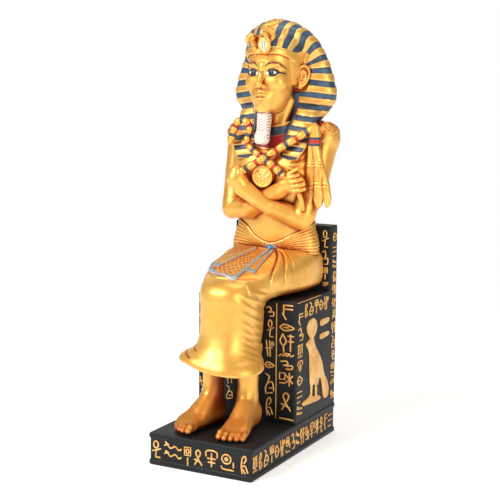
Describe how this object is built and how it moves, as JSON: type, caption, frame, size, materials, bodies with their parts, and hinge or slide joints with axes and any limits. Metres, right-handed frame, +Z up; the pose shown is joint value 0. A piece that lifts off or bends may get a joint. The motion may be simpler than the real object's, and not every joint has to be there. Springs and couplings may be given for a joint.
{
  "type": "seated pharaoh figurine",
  "caption": "Gilded cast figurine of a seated pharaoh with arms crossed over crook and flail, in a long pleated kilt, on a black block throne built together with its plinth.",
  "frame": {"origin": "centre of the plinth's underside, on the surface that it stands on", "axes": "+Z up, the figure looks along -Y, +X is the figure's own left"},
  "size_m": [0.0822, 0.118, 0.2666],
  "materials": {
    "black_block": "black satin paint over cast resin, with gold painted raised strokes",
    "gold_figure": "satin gold paint with orange-brown shading in the recesses, and painted blue, red and white details"
  },
  "bodies": {
    "root": {"throne_with_plinth": "black_block", "seated_pharaoh": "gold_figure"}
  },
  "joints": []
}
